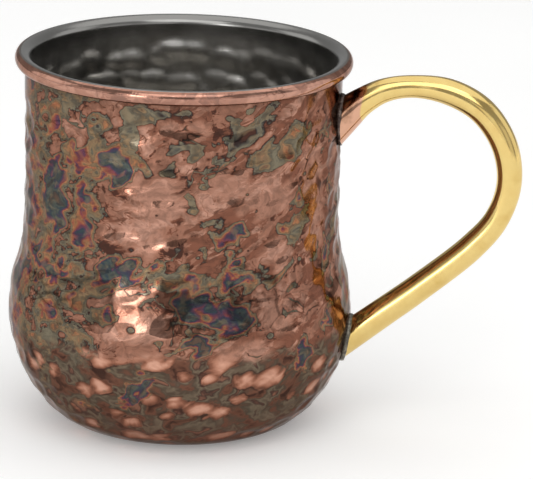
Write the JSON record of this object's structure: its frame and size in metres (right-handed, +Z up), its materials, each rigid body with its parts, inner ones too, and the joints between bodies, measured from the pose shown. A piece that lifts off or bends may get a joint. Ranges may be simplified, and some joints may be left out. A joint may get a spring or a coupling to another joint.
{
  "type": "mug",
  "caption": "Hammered copper mug with a bulging belly, a rolled rim, a grey metal lining and a curved brass handle",
  "frame": {"origin": "centre of the flat base, on the mug's own axis", "axes": "+Z up along the mug's axis, +X towards the handle, +Y across the handle"},
  "size_m": [0.1358, 0.0914, 0.1002],
  "materials": {
    "copper": "hammered copper sheet, polished and flame-toned: pink copper with olive, brown, magenta and blue-violet oxide patches",
    "liner_metal": "satin grey nickel or steel lining with soft hammer marks",
    "brass": "polished yellow brass with faint scratches",
    "dark_solder": "blackened brazing filler",
    "grey_solder": "smooth grey solder"
  },
  "bodies": {
    "root": {"copper_shell": "copper", "inner_liner": "liner_metal", "handle": "brass", "solder_joint_upper": "dark_solder", "solder_joint_lower": "grey_solder"}
  },
  "joints": []
}
